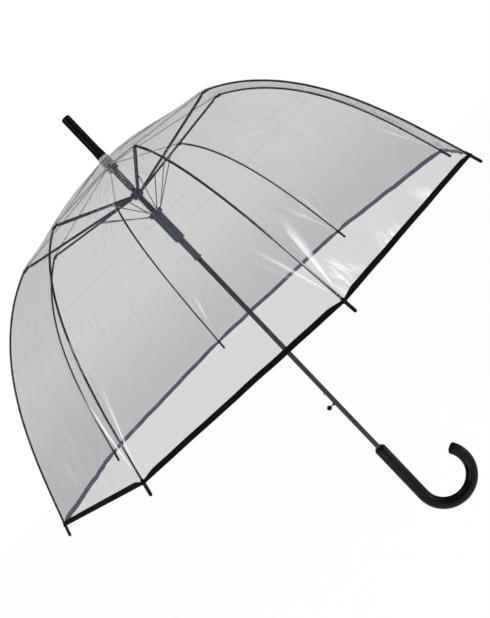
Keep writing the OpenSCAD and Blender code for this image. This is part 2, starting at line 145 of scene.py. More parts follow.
class FilmLook(bpy.types.PropertyGroup):
    tint: colour("Tint", "4a3f48", "Dark grey that the film lays over what is behind it")
    # painted highlight: besides the creases' own whitening, this white stands in for lamps glinting on the
    # film's wrinkles
    crease_and_highlight: colour("Crease", "f6f7fa", "White of the creases and stress lines")
    veil: share("Veil", 0.128, "How much one face of the film hides")
    edge: share("Edge", 0.10, "How much more it hides where it is seen edge on")
    rim: share("Rim haze", 0.055, "How much more it hides near the rim, where it is handled")


class HardLook(bpy.types.PropertyGroup):
    enamel: colour("Enamel", "0b0c0e", "Black enamel of the lower ribs")
    shaft: colour("Shaft", "2b2b2c", "Grey-black enamel of the shaft")
    plastic: colour("Plastic", "060607", "Black of the handle, ferrule and tips")
    nylon: colour("Nylon", "38444f", "Blue-grey of the runner and collar")
    lacquer: colour("Lacquer", "2b313d", "Blue-black lacquer of the arms")
    bright: colour("Bright", "cdd0d4", "Bright plating of the upper ribs")
    zinc: colour("Zinc", "a9adb2", "Zinc plating of the notch and springs")
    tape: colour("Tape", "08080a", "Black of the rim's binding")
    # painted light: the binding is black on both faces; this blue-grey on its inner face stands in for the
    # lit film veiling the far side of the rim
    lining: colour("Lining", "4b5668", "Blue-grey of the binding's inner face")


GROUPS = {
    "canopy": CanopySizes,
    "ribs": RibSizes,
    "spring": SpringSizes,
    "film": FilmLook,
    "hard": HardLook,
}


class UmbrellaSettings(bpy.types.PropertyGroup):
    canopy: PointerProperty(type=CanopySizes)
    ribs: PointerProperty(type=RibSizes)
    spring: PointerProperty(type=SpringSizes)
    film: PointerProperty(type=FilmLook)
    hard: PointerProperty(type=HardLook)


def settings():
    return bpy.context.scene.umbrella


# ---------------------------------------------------------------- the rib's curve, as in the frame
ARCS = 5
# the rod's heading in degrees at the shoulder and at the rim, and how fast it turns in between
HEADING_TOP, HEADING_RIM, HEADING_POWER = 68.7, 20.0, 2.07
ROD_R, GAP, FILM_T = 0.0013, 0.00035, 0.00025


def _heading(s):
    return HEADING_RIM + (HEADING_TOP - HEADING_RIM) * (1 - s) ** HEADING_POWER


def _knots():
    points = [np.zeros(2)]
    for j in range(ARCS):
        a, b = (math.radians(_heading(k / ARCS)) for k in (j, j + 1))
        chord = np.array([math.cos(b) - math.cos(a), math.sin(b) - math.sin(a)])
        points.append(points[-1] + chord / ARCS / (a - b))
    return points


_top = math.radians(HEADING_TOP)
_start = np.array(SHOULDER) + ROD_LIFT * np.array([math.cos(_top), math.sin(_top)])
_end = np.array([RIM_RADIUS - ROD_R - GAP - FILM_T, RIM_HEIGHT])
_unit = _knots()
RIB_LENGTH = float(np.linalg.norm(_end - _start) / np.linalg.norm(_unit[-1]))
_span = _end - _start
SWING = math.atan2(_unit[-1][1], _unit[-1][0]) - math.atan2(_span[1], _span[0])
_c, _s = math.cos(SWING), math.sin(SWING)
KNOTS = [_start + RIB_LENGTH * np.array([p[0] * _c + p[1] * _s, -p[0] * _s + p[1] * _c]) for p in _unit]
TURNS = [math.radians(_heading(j / ARCS)) - SWING for j in range(ARCS + 1)]


def rib_curve(s):
    """Point and heading of the lower rib's line at a share s of its length, in its own plane."""
    j = min(ARCS - 1, int(s * ARCS))
    a, b = TURNS[j], TURNS[j + 1]
    h = a + (b - a) * (s * ARCS - j)
    r = RIB_LENGTH / ARCS / (a - b)
    return KNOTS[j] + r * np.array([math.cos(h) - math.cos(a), math.sin(h) - math.sin(a)]), h


def rib_plane(i):
    """Turns a point of rib i's plane, x out and z up, to where the rib stands."""
    return Matrix.Rotation(PHASE + 2 * HALF * (i - 1), 4, "Z")


# ---------------------------------------------------------------- the film's surface
def _profile():
    """The film's line over a rib: from the crown down the upper rib, then down the curved rod."""
    lift = ROD_R + GAP + FILM_T / 2
    first, h0 = rib_curve(0)
    first = first + lift * np.array([math.cos(h0), math.sin(h0)])
    crown = np.array([FILM_HOLE, APEX])
    top = float(np.linalg.norm(first - crown))
    line = [crown + (first - crown) * k / 200 for k in range(200)]
    for k in range(401):
        p, h = rib_curve(k / 400)
        line.append(p + lift * np.array([math.cos(h), math.sin(h)]))
    line = np.array(line)
    at = np.concatenate([[0], np.cumsum(np.linalg.norm(np.diff(line, axis=0), axis=1))])
    even = np.linspace(0, at[-1], 1400)
    xy = np.stack([np.interp(even, at, line[:, k]) for k in (0, 1)], 1)
    # over the shoulder joint the film bends in a soft curve, and stands a little off the fork
    step = even[1]
    reach = int(0.016 / step)
    soft = xy.copy()
    kernel = np.hanning(2 * reach + 1)
    kernel /= kernel.sum()
    for k in (0, 1):
        soft[reach:-reach, k] = np.convolve(xy[:, k], kernel, "valid")
    near = np.exp(-(((even - top) / 0.022) ** 2))[:, None]
    raised = soft + near * 0.0009 * np.array([math.cos(1.3), math.sin(1.3)])
    return even, xy + (raised - xy) * np.clip(near * 1.4, 0, 1), top


PROFILE_AT, PROFILE, TOP_LINE = _profile()
FULL_LINE = float(PROFILE_AT[-1])


def profile(p):
    return np.array([np.interp(p, PROFILE_AT, PROFILE[:, k]) for k in (0, 1)])


def waves(gore, t, p):
    """Soft waves of the film, from -1 to 1: none at the seams, and long ones down the gore."""
    r = random.Random(300 + gore)
    out = 0.0
    for k in range(7):
        wide, long_ = r.uniform(0.035, 0.11), r.uniform(0.12, 0.40)
        out += math.sin(2 * math.pi * (t / wide + p / long_ * r.choice((-1, 1))) + r.uniform(0, 6.3))
    return out / 3.2


def film_point(gore, a, p):
    """A point on gore's film: a runs from -1 at its first rib to 1 at the next, p down from the crown."""
    c = settings().canopy
    r, z = profile(min(p, FULL_LINE))
    back = profile(max(0.0, min(p, FULL_LINE) - 0.002))
    d = np.array([r, z]) - back
    d = d / max(np.linalg.norm(d), 1e-9)
    if p > FULL_LINE:
        r, z = np.array([r, z]) + (p - FULL_LINE) * d
    n = np.array([-d[1], d[0]])
    t = a * r * math.sin(HALF)
    free = (1 - a * a) * min(1.0, p / 0.06)  # free of the seams, and of the washer for 60 mm
    low = p / FULL_LINE
    sag = -c.slack * free * math.sin(math.pi * min(1, low * 1.02))
    ripple = c.ripple * waves(gore, t, p) * free ** 0.5 * (0.35 + 0.65 * low)
    if p < TOP_LINE:
        sag += c.crown * (1 - a * a) * math.sin(math.pi * p / TOP_LINE)
    rim = max(0.0, 1 - (FULL_LINE - p) / 0.035)  # the binding gathers the last 35 mm
    q = random.Random(7 * gore)
    pucker = c.pucker * rim * free ** 0.3 * (
        math.sin(t / 0.0088 + q.uniform(0, 6)) * 0.5 + math.sin(t / 0.0171 + q.uniform(0, 6))
    )
    e = sag + ripple + pucker * 0.7
    g = PHASE + 2 * HALF * (gore - 1) + HALF
    x, y = r * math.cos(HALF) + n[0] * e, t
    return Vector((x * math.cos(g) - y * math.sin(g), x * math.sin(g) + y * math.cos(g), z + n[1] * e))


def seam_distance(a, p):
    return (1 - abs(a)) * profile(min(p, FULL_LINE))[0] * math.sin(HALF)


# ---------------------------------------------------------------- making pieces
def finish(bm, name, body, coats):
    """Makes the piece, with its place in its mesh, and lets it ride on its body."""
    mesh = bpy.data.meshes.new(name)
    bm.to_mesh(mesh)
    bm.free()
    for p in mesh.polygons:
        p.use_smooth = True
    obj = bpy.data.objects.new(name, mesh)
    bpy.context.scene.collection.objects.link(obj)
    for m in coats if isinstance(coats, (list, tuple)) else [coats]:
        mesh.materials.append(m)
    if body:
        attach(obj, body)
    return obj


def add(bm, part, slot=0, place=None):
    """Puts a part's shape into the piece, with its material slot, and frees the part."""
    if place is not None:
        bmesh.ops.transform(part, matrix=place, verts=part.verts)
    for f in part.faces:
        f.material_index = slot
    mesh = bpy.data.meshes.new("part")
    part.to_mesh(mesh)
    part.free()
    bm.from_mesh(mesh)
    bpy.data.meshes.remove(mesh)


def turned(line, steps):
    """A solid turned about +X from a line of (along, radius) points."""
    part = bmesh.new()
    verts = [part.verts.new((x, 0, r)) for x, r in line]
    edges = [part.edges.new(pair) for pair in zip(verts, verts[1:])]
    bmesh.ops.spin(
        part,
        geom=verts + edges,
        cent=(0, 0, 0),
        axis=(1, 0, 0),
        angle=2 * math.pi,
        steps=steps,
        use_merge=True,
    )
    bmesh.ops.remove_doubles(part, verts=part.verts, dist=1e-7)
    bmesh.ops.recalc_face_normals(part, faces=part.faces)
    return part


def block(lower, upper, round_=0.0):
    """A box from one corner to the other, with its edges rounded."""
    part = bmesh.new()
    bmesh.ops.create_cube(part, size=1)
    lower, upper = Vector(lower), Vector(upper)
    bmesh.ops.scale(part, vec=upper - lower, verts=part.verts)
    bmesh.ops.translate(part, vec=(upper + lower) / 2, verts=part.verts)
    if round_:
        bmesh.ops.bevel(
            part, geom=part.edges[:], offset=round_, segments=2, affect="EDGES", profile=0.5, material=-1
        )
    return part


def cross_pin(radius, y0, y1, sides=28):
    """A round pin along Y."""
    part = bmesh.new()
    bmesh.ops.create_cone(part, cap_ends=True, segments=sides, radius1=radius, radius2=radius, depth=y1 - y0)
    bmesh.ops.rotate(part, cent=(0, 0, 0), matrix=Matrix.Rotation(math.pi / 2, 3, "X"), verts=part.verts)
    bmesh.ops.translate(part, vec=(0, (y0 + y1) / 2, 0), verts=part.verts)
    return part


def laid(place, across, along):
    """A grid laid on the film: place(x, y) gives the gore, the share across it and the length down it."""
    bm = bmesh.new()
    bmesh.ops.create_grid(bm, x_segments=across, y_segments=along, size=0.5)
    seam = bm.verts.layers.float.new("seam")
    film, fan = bm.loops.layers.uv.new("FilmUV"), bm.loops.layers.uv.new("FanUV")
    at = {}
    for v in bm.verts:
        gore, a, p = place(v.co.x + 0.5, v.co.y + 0.5)
        v.co = film_point(gore, a, p)
        v[seam] = seam_distance(a, p)
        at[v] = (gore, a, p)
    r_rim = profile(FULL_LINE)[0] * math.sin(HALF)
    for f in bm.faces:
        side = 1 if sum(at[v][1] for v in f.verts) > 0 else -1
        for loop in f.loops:
            gore, a, p = at[loop.vert]
            t = a * profile(min(p, FULL_LINE))[0] * math.sin(HALF)
            dx, dy = r_rim - side * t, FULL_LINE - p
            loop[film].uv = (t + 0.37 * gore, p)
            sector = 2 * gore + (side + 1) // 2
            loop[fan].uv = (math.atan2(dx, max(dy, 0)) / math.pi + sector, math.hypot(dx, dy))
    return bm


def thicken(obj, thickness):
    m = obj.modifiers.new("Thickness", "SOLIDIFY")
    m.thickness = thickness
    m.offset = 0
    m.use_even_offset = False
    return m


def flat_size(bm):
    """The flat area of a laid sheet, before it has its thickness."""
    return sum(f.calc_area() for f in bm.faces)


# ---------------------------------------------------------------- materials
def put(tree, kind, sockets=None, **options):
    """Adds one node with its options, and gives its inputs values or links."""
    n = tree.nodes.new(kind)
    for k, v in options.items():
        setattr(n, k, v)
    for k, v in (sockets or {}).items():
        if isinstance(v, bpy.types.NodeSocket):
            tree.links.new(v, n.inputs[k])
        else:
            n.inputs[k].default_value = v
    return n


def material(name):
    m = bpy.data.materials.new(name)
    m.use_nodes = True
    m.node_tree.nodes.clear()
    return m, m.node_tree


def close(tree, shader):
    put(tree, "ShaderNodeOutputMaterial", {"Surface": shader.outputs[0]})


def times(tree, a, b, operation="MULTIPLY", c=None, clamp=False):
    s = {0: a, 1: b}
    if c is not None:
        s[2] = c
    return put(tree, "ShaderNodeMath", s, operation=operation, use_clamp=clamp).outputs[0]


def ramp(tree, value, a, b, to_a=0.0, to_b=1.0):
    return put(
        tree,
        "ShaderNodeMapRange",
        {"Value": value, "From Min": a, "From Max": b, "To Min": to_a, "To Max": to_b},
        interpolation_type="SMOOTHSTEP",
    ).outputs[0]


def mixed(tree, amount, a, b):
    n = put(tree, "ShaderNodeMix", data_type="RGBA")
    for socket, value in ((n.inputs[0], amount), (n.inputs[6], a), (n.inputs[7], b)):
        if isinstance(value, bpy.types.NodeSocket):
            tree.links.new(value, socket)
        else:
            socket.default_value = value
    return n.outputs[2]


def rgba(c):
    return (c[0], c[1], c[2], 1.0)


def enamel(name, code, coat=0.6, rough=0.2, fleck=0.35):
    """Stoved enamel on drawn steel: a deep gloss with a faint orange peel, so highlights are soft-edged."""
    m, t = material(name)
    where = put(t, "ShaderNodeTexCoord").outputs["Object"]
    peel = put(t, "ShaderNodeTexNoise", {"Vector": where, "Scale": 900.0, "Detail": 1.0}).outputs[0]
    cloud = put(t, "ShaderNodeTexNoise", {"Vector": where, "Scale": 60.0, "Detail": 3.0}).outputs[0]
    light = tuple(min(1.0, c * (1 + fleck) + 0.004) for c in code)
    s = put(
        t,
        "ShaderNodeBsdfPrincipled",
        {
            "Base Color": mixed(t, ramp(t, cloud, 0.35, 0.7), rgba(code), rgba(light)),
            "Roughness": ramp(t, cloud, 0.3, 0.75, rough, rough + 0.1),
            "Normal": put(
                t, "ShaderNodeBump", {"Height": peel, "Strength": 0.25, "Distance": 0.00005}
            ).outputs[0],
            "IOR": 1.5,
            "Specular IOR Level": 0.12,
            "Coat Weight": coat,
            "Coat IOR": 1.2,
            "Coat Roughness": 0.08,
        },
    )
    close(t, s)
    return m


def moulded(name, code, rough, grain, depth, gloss=0.14):
    """Injection-moulded plastic: coloured right through, and the tool's polish or grain sets the gloss."""
    m, t = material(name)
    where = put(t, "ShaderNodeTexCoord").outputs["Object"]
    fine = put(t, "ShaderNodeTexNoise", {"Vector": where, "Scale": 1 / grain, "Detail": 2.0}).outputs[0]
    cloud = put(t, "ShaderNodeTexNoise", {"Vector": where, "Scale": 35.0, "Detail": 2.0}).outputs[0]
    light = tuple(min(1.0, c * 1.4 + 0.003) for c in code)
    s = put(
        t,
        "ShaderNodeBsdfPrincipled",
        {
            "Base Color": mixed(t, cloud, rgba(code), rgba(light)),
            "Roughness": ramp(t, cloud, 0.25, 0.8, rough, rough + 0.09),
            "Normal": put(
                t, "ShaderNodeBump", {"Height": fine, "Strength": 0.3, "Distance": depth}
            ).outputs[0],
            "IOR": 1.49,
            "Specular IOR Level": gloss,
        },
    )
    close(t, s)
    return m


def plated(name, code, rough, metal=0.6):
    """Zinc-plated steel: a pale metal with a faint cloudy passivated bloom."""
    m, t = material(name)
    where = put(t, "ShaderNodeTexCoord").outputs["Object"]
    cloud = put(t, "ShaderNodeTexNoise", {"Vector": where, "Scale": 240.0, "Detail": 4.0}).outputs[0]
    dark = tuple(c * 0.72 for c in code)
    s = put(
        t,
        "ShaderNodeBsdfPrincipled",
        {
            "Base Color": mixed(t, ramp(t, cloud, 0.35, 0.7), rgba(dark), rgba(code)),
            "Metallic": metal,
            "Roughness": ramp(t, cloud, 0.3, 0.7, rough, rough + 0.15),
        },
    )
    close(t, s)
    return m


def clear_moulding(name):
    """Clear polystyrene, moulded with rings: painted pale glints on the rings and painted grey shade between
    them.
    """
    m, t = material(name)
    where = put(t, "ShaderNodeTexCoord").outputs["Object"]
    axis = put(t, "ShaderNodeSeparateXYZ", {0: where})
    turn = put(t, "ShaderNodeMath", {0: axis.outputs[1], 1: axis.outputs[0]}, operation="ARCTAN2").outputs[0]
    flute = put(
        t, "ShaderNodeMath", {0: times(t, turn, 24.0)}, operation="SINE"
    ).outputs[0]  # 24 flutes round the spacer
    # painted highlight and shade: the flutes' crests are painted as pale glints, the grooves between them as
    # grey shade
    glint_and_shade_band = ramp(t, flute, -0.5, 0.7)
    s = put(
        t,
        "ShaderNodeBsdfPrincipled",
        {
            "Base Color": mixed(t, glint_and_shade_band, rgba(srgb("57535f")), rgba(srgb("e9ebf0"))),
            "Roughness": 0.12,
            "Normal": put(
                t, "ShaderNodeBump", {"Height": flute, "Strength": 0.8, "Distance": 0.0004}
            ).outputs[0],
            "IOR": 1.59,
            "Alpha": 0.86,
        },
    )
    close(t, s)
    return m


def ringed(name, code, pale):
    """Ribbed nylon bush: rings 4 mm apart, with painted highlights on their crests and dark in between."""
    m, t = material(name)
    where = put(t, "ShaderNodeTexCoord").outputs["Object"]
    axis = put(t, "ShaderNodeSeparateXYZ", {0: where}).outputs[2]
    wave = put(t, "ShaderNodeMath", {0: times(t, axis, 2 * math.pi / 0.0041)}, operation="SINE").outputs[0]
    # painted highlight: the crests are laid in a pale colour taken from the zinc
    painted_highlight_crest = tuple(0.45 * c for c in pale)
    s = put(
        t,
        "ShaderNodeBsdfPrincipled",
        {
            "Base Color": mixed(t, ramp(t, wave, -0.2, 0.95), rgba(code), rgba(painted_highlight_crest)),
            "Roughness": 0.34,
            "Normal": put(
                t, "ShaderNodeBump", {"Height": wave, "Strength": 0.8, "Distance": 0.0006}
            ).outputs[0],
            "IOR": 1.52,
        },
    )
    close(t, s)
    return m


def film_material():
    """Clear plasticised PVC film: it greys what is behind it, is glossy, and whitens at creases, where the
    white is partly painted highlight of lamps on its wrinkles.
    """
    look = settings().film
    m, t = material("pvc_film_clear")
    uv = put(t, "ShaderNodeUVMap", uv_map="FilmUV").outputs[0]
    fan = put(t, "ShaderNodeUVMap", uv_map="FanUV").outputs[0]
    seam = put(t, "ShaderNodeAttribute", attribute_name="seam").outputs["Fac"]

    def scaled(vector, x, y):
        return put(
            t, "ShaderNodeVectorMath", {0: vector, 1: (x, y, 1.0)}, operation="MULTIPLY"
        ).outputs[0]

    def noise(vector, detail=1.0):
        return put(
            t, "ShaderNodeTexNoise", {"Vector": vector, "Scale": 1.0, "Detail": detail},
            noise_dimensions="2D",
        ).outputs[0]

    def ridges(value, width):
        gap = times(t, times(t, value, 0.5, "SUBTRACT"), 0.0, "ABSOLUTE")
        return ramp(t, gap, 0.0, width, 1.0, 0.0)

    # faint lengthwise creases in a few patches of each gore, up to 150 mm long: partly crease whitening and
    # partly painted highlight
    patch = ramp(t, noise(scaled(uv, 7.0, 4.0)), 0.56, 0.68)
    long_ = times(t, times(t, ridges(noise(scaled(uv, 95.0, 5.0)), 0.045), patch), 0.45)
    # painted highlight: soft white bands, up to 150 mm long, that fan out from a tip close to its rib, in
    # some gores, where lamps would glint on the film's wrinkles
    parts = put(t, "ShaderNodeSeparateXYZ", {0: fan}).outputs
    sector = times(t, parts[0], 0.0, "FLOOR")
    off = times(t, parts[0], sector, "SUBTRACT")
    # the painted highlight bands come and go round the rim, once in nine half gores
    turn = times(t, sector, 0.7, "MULTIPLY_ADD", -7.18)
    chosen = ramp(t, put(t, "ShaderNodeMath", {0: turn}, operation="SINE").outputs[0], -0.1, 0.5)
    reach = times(t, ramp(t, parts[1], 0.008, 0.030), ramp(t, parts[1], 0.085, 0.165, 1.0, 0.0))
    near = times(t, ramp(t, off, 0.006, 0.016), ramp(t, off, 0.110, 0.160, 1.0, 0.0))
    highlight_bands = ramp(t, noise(scaled(fan, 22.0, 1.5), 0.0), 0.44, 0.60)
    painted_highlight_fan = times(t, ramp(t, noise(scaled(fan, 50.0, 12.0)), 0.22, 0.42), times(t, highlight_bands, reach))
    painted_highlight_fan = times(t, times(t, painted_highlight_fan, near), chosen)
    # the white marks: real crease whitening and painted highlight streaks together
    crease_and_highlight = times(t, long_, painted_highlight_fan, "MAXIMUM")
    weld = ramp(t, seam, 0.0018, 0.0026, 1.0, 0.0)  # 2 mm weld on each side of a rib
    facing = put(t, "ShaderNodeLayerWeight", {"Blend": 0.5}).outputs["Facing"]
    grazing = times(t, facing, 3.0, "POWER")
    swell = noise(scaled(uv, 14.0, 7.0), 2.0)
    fine = noise(scaled(uv, 90.0, 30.0), 1.0)
    height = times(t, times(t, swell, times(t, fine, 0.12), "ADD"), times(t, crease_and_highlight, 0.25), "ADD")
    down = put(t, "ShaderNodeSeparateXYZ", {0: uv}).outputs[1]
    haze = ramp(t, down, FULL_LINE - 0.22, FULL_LINE - 0.03, look.veil, look.veil + look.rim)
    alpha = times(t, grazing, look.edge, "MULTIPLY_ADD", haze)
    alpha = times(t, crease_and_highlight, 0.28, "MULTIPLY_ADD", alpha)
    weld = times(t, weld, ramp(t, down, TOP_LINE - 0.01, TOP_LINE + 0.01))
    alpha = times(t, weld, 0.10, "MULTIPLY_ADD", alpha, clamp=True)
    s = put(
        t,
        "ShaderNodeBsdfPrincipled",
        {
            # painted highlight: the base colour turns white along the creases and the fan bands
            "Base Color": mixed(t, crease_and_highlight, rgba(look.tint), rgba(look.crease_and_highlight)),
            "Roughness": ramp(t, crease_and_highlight, 0.0, 1.0, 0.09, 0.3),
            "Normal": put(
                t, "ShaderNodeBump", {"Height": height, "Strength": 0.7, "Distance": 0.0025}
            ).outputs[0],
            "IOR": 1.53,
            "Specular IOR Level": 0.9,
            "Alpha": alpha,
        },
    )
    close(t, s)
    return m


def ribbon(name, code):
    """Woven polyester binding: matt black with a fine cross rib."""
    m, t = material(name)
    uv = put(t, "ShaderNodeUVMap", uv_map="FilmUV").outputs[0]
    parts = put(t, "ShaderNodeSeparateXYZ", {0: uv}).outputs
    # cross ribs 0.8 mm apart
    turn = times(t, parts[0], 2 * math.pi / 0.0008)
    rib = put(t, "ShaderNodeMath", {0: turn}, operation="SINE").outputs[0]
    cloud = put(t, "ShaderNodeTexNoise", {"Vector": uv, "Scale": 70.0, "Detail": 3.0}).outputs[0]
    light = tuple(c * 1.6 + 0.001 for c in code)
    s = put(
        t,
        "ShaderNodeBsdfPrincipled",
        {
            "Base Color": mixed(t, ramp(t, cloud, 0.3, 0.75), rgba(code), rgba(light)),
            "Roughness": ramp(t, cloud, 0.3, 0.7, 0.5, 0.68),
            "Normal": put(
                t, "ShaderNodeBump", {"Height": rib, "Strength": 0.35, "Distance": 0.00015}
            ).outputs[0],
            "IOR": 1.45,
            "Specular IOR Level": 0.10,
        },
    )
    close(t, s)
    return m


MATERIALS = {}


def dress(names, m):
    for n in names:
        mesh = NODES[n].data
        mesh.materials.clear()
        mesh.materials.append(m)


# ---------------------------------------------------------------- the pieces
class Piece:
    bl_options = {"REGISTER", "UNDO"}


class UMBRELLA_OT_stage(Piece, bpy.types.Operator):
    """White studio: a pale floor, an even white all round, soft lamps and the camera"""

    bl_idname = "umbrella.stage"
    bl_label = "Studio stage"

    def execute(self, context):
        scene = context.scene
        scene.view_settings.view_transform = "Standard"
        scene.view_settings.look = "None"
        # white paper far under the umbrella
        m, t = material("matt_white_paper")
        where = put(t, "ShaderNodeTexCoord").outputs["Object"]
        tone = put(t, "ShaderNodeTexNoise", {"Vector": where, "Scale": 3.0, "Detail": 2.0}).outputs[0]
        sockets = {
            "Base Color": mixed(t, tone, (0.95, 0.95, 0.95, 1), (0.97, 0.97, 0.97, 1)),
            "Roughness": 0.9,
            "Specular IOR Level": 0.0,
        }
        close(t, put(t, "ShaderNodeBsdfPrincipled", sockets))
        bm = bmesh.new()
        bmesh.ops.create_grid(bm, x_segments=2, y_segments=2, size=40)
        bmesh.ops.translate(bm, vec=(0, 0, -3), verts=bm.verts)
        finish(bm, "studio_floor", None, m)

        world = bpy.data.worlds.new("studio")
        scene.world = world
        world.use_nodes = True
        t = world.node_tree
        t.nodes.clear()
        rays = put(t, "ShaderNodeLightPath").outputs
        # white behind the umbrella and as its soft light, but dark in its reflections, as black flags do
        lit = mixed(t, rays["Is Glossy Ray"], (1.03, 1.03, 1.03, 1), (0.05, 0.053, 0.058, 1))
        colour_ = mixed(t, rays["Is Camera Ray"], lit, (1.0, 1.0, 1.0, 1))
        back = put(t, "ShaderNodeBackground", {"Color": colour_, "Strength": 1.0})
        put(t, "ShaderNodeOutputWorld", {"Surface": back.outputs[0]})

        def lamp(name, at, to, power, wide, tall):
            light = bpy.data.lights.new(name, "AREA")
            light.shape, light.size, light.size_y = "RECTANGLE", wide, tall
            light.energy = power
            obj = bpy.data.objects.new(name, light)
            scene.collection.objects.link(obj)
            obj.location = at
            obj.rotation_euler = (Vector(to) - Vector(at)).to_track_quat("-Z", "Y").to_euler()

        # two upright strips, as tall as the umbrella, draw one line of light each down the shaft and handle
        low_middle, middle = (0, 0, 0.25), (0, 0, 0.4)
        lamp("softbox_left", (-1.6, -1.8, 0.25), low_middle, 13, 0.09, 2.0)
        lamp("softbox_right", (2.3, -0.9, 0.25), low_middle, 9, 0.08, 2.0)
        lamp("softbox_top", (0.2, 0.4, 2.6), middle, 6, 0.4, 0.8)

        # the camera, 1.46 m off, looks a little down and is rolled, so that the umbrella leans to the left
        rise = math.radians(5.73)
        away = 1.45866
        spot = Vector((0, -away * math.cos(rise), RIM_HEIGHT + away * math.sin(rise)))
        pitch = rise - 0.029
        ahead = Vector((0, math.cos(pitch), -math.sin(pitch)))
        up = Vector((1, 0, 0)).cross(ahead)
        roll = math.radians(43.62)
        x = math.cos(roll) * Vector((1, 0, 0)) - math.sin(roll) * up
        y = math.sin(roll) * Vector((1, 0, 0)) + math.cos(roll) * up
        data = bpy.data.cameras.new("camera")
        data.sensor_width = 36
        data.lens = 54.8755
        data.clip_end = 200
        data.shift_x = data.shift_y = -0.0016
        camera = bpy.data.objects.new("camera", data)
        scene.collection.objects.link(camera)
        turn = Matrix((x, y, -ahead)).transposed().to_4x4()
        camera.matrix_world = Matrix.Translation(spot) @ turn
        scene.camera = camera
        return {"FINISHED"}


class UMBRELLA_OT_finishes(Piece, bpy.types.Operator):
    """Finishes of the fixed parts: enamel, moulded plastic, plating and lacquer"""

    bl_idname = "umbrella.finishes"
    bl_label = "Finishes of the fixed parts"

    def execute(self, context):
        h = settings().hard
        M = MATERIALS
        M["enamel"] = enamel("enamelled_steel_black", h.enamel)
        M["shaft"] = enamel("enamelled_steel_grey_black", h.shaft, rough=0.3)
        M["lacquer"] = enamel("lacquered_steel_blue_black", h.lacquer, coat=0.6, rough=0.24, fleck=0.5)
        M["handle"] = moulded("abs_polished_black", h.plastic, 0.15, 0.0012, 0.000008)
        M["tip"] = moulded("nylon_tip_black", h.plastic, 0.28, 0.0008, 0.00001)
        M["nylon"] = moulded("nylon_satin_blue_black", h.nylon, 0.30, 0.0010, 0.00002, 0.3)
        M["zinc"] = plated("zinc_plated_steel", h.zinc, 0.28)
        M["bright"] = plated("zinc_bright_steel", h.bright, 0.3, 0.2)
        M["spring"] = plated("spring_steel_bright", tuple(c * 0.55 for c in h.zinc), 0.24)
        M["clear"] = clear_moulding("polystyrene_clear_painted_glints")
        M["ringed"] = ringed("nylon_ringed_painted_highlights", h.nylon, h.zinc)
        M["tape"] = ribbon("polyester_binding_black", h.tape)
        M["lining"] = ribbon("polyester_binding_painted_veil", h.lining)
        M["film"] = film_material()
        dress(["shaft"], M["shaft"])
        dress(["handle", "ferrule", "release_button"], M["handle"])
        dress(["crown_washer"], M["clear"])
        dress(["top_notch"], M["ringed"])
        dress(["latch_catch"], M["zinc"])
        dress(["collar", "runner", "runner_sleeve"], M["nylon"])
        for i in range(1, GORES + 1):
            dress([f"rib_upper_{i}"], M["bright"])
            dress([f"arm_{i}"], M["lacquer"])
            dress([f"push_wire_{i}"], M["spring"])
        return {"FINISHED"}


class UMBRELLA_OT_canopy(Piece, bpy.types.Operator):
    """The lower two thirds of the canopy: a middle and a lower panel of clear film in each gore"""

    bl_idname = "umbrella.canopy"
    bl_label = "Canopy film"

    def execute(self, context):
        c = settings().canopy
        ribs = FULL_LINE - TOP_LINE
        split = 0.4  # where the frame parts the middle panel from the lower one
        for part, s0, s1 in (("mid", 0.0, split), ("low", split, 1.0)):
            for i in range(1, GORES + 1):
                p0, p1 = TOP_LINE + ribs * s0, TOP_LINE + ribs * s1
                along = int((p1 - p0) / c.cell)
                bm = laid(lambda x, y: (i, 2 * x - 1, p1 + (p0 - p1) * y), c.across, along)
                area = flat_size(bm)
                name = f"canopy_{part}_{i}"
                obj = finish(bm, name, f"film_{part}_{i}", MATERIALS["film"])
                thicken(obj, c.thickness)
                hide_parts(f"film_{part}_{i}")
                fold_up(obj)
        return {"FINISHED"}


def fold_up(obj):
    """Gives the piece its own copy of its mesh."""
    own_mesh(obj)


class UMBRELLA_OT_crown_film(Piece, bpy.types.Operator):
    """The top of the canopy, in three rings of film over the upper ribs"""

    bl_idname = "umbrella.crown_film"
    bl_label = "Crown film"

    def execute(self, context):
        c = settings().canopy
        rings = (
            ("crown", 0.0, 0.028, None),
            ("top", 0.028, 0.085, 0.20),
            ("upper", 0.085, TOP_LINE, 0.09),
        )
        for part, p0, p1, keep in rings:
            for i in range(1, GORES + 1):
                before = GORES if i == 1 else i - 1

                def place(x, y):
                    k = 2 * x - 1
                    p = p1 + (p0 - p1) * y
                    return (before, 1 + k, p) if k <= 0 else (i, k - 1, p)

                along = max(6, int((p1 - p0) / c.cell))
                across = max(12, 2 * int(c.across * profile(p1)[0] / RIM_RADIUS / 2) + 2)
                bm = laid(place, across, along)
                area = flat_size(bm)
                name = f"canopy_{part}_{i}"
                body = None if keep is None else f"rib_upper_{i}"
                obj = finish(bm, name, body, MATERIALS["film"])
                thicken(obj, c.thickness)
                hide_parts("film_top")
                if keep is None:
                    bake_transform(obj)
                else:
                    fold_up(obj)
        return {"FINISHED"}


class UMBRELLA_OT_rim_tape(Piece, bpy.types.Operator):
    """The black binding folded over the film's rim, one length in each gore"""

    bl_idname = "umbrella.rim_tape"
    bl_label = "Rim binding"

    def execute(self, context):
        c = settings().canopy
        half = profile(FULL_LINE)[0] * math.sin(HALF)
        for i in range(1, GORES + 1):
            p1 = FULL_LINE + 0.0006

            def place(x, y):
                # the tips gather the binding over the last 23 mm of each gore
                a = 2 * x - 1
                k = min(1.0, (1 - abs(a)) * half / 0.023)
                width = c.tape_nip + (c.tape_width - c.tape_nip) * k * k * (3 - 2 * k)
                return i, a, p1 - width * y

            bm = laid(place, c.across * 2, 6)
            area = flat_size(bm)
            obj = finish(bm, f"rim_tape_{i}", f"film_low_{i}", [MATERIALS["tape"], MATERIALS["lining"]])
            # the inner face takes the second material, the painted blue-grey of the lit film's veil
            thicken(obj, c.tape_thickness).material_offset = 1
            fold_up(obj)
        return {"FINISHED"}


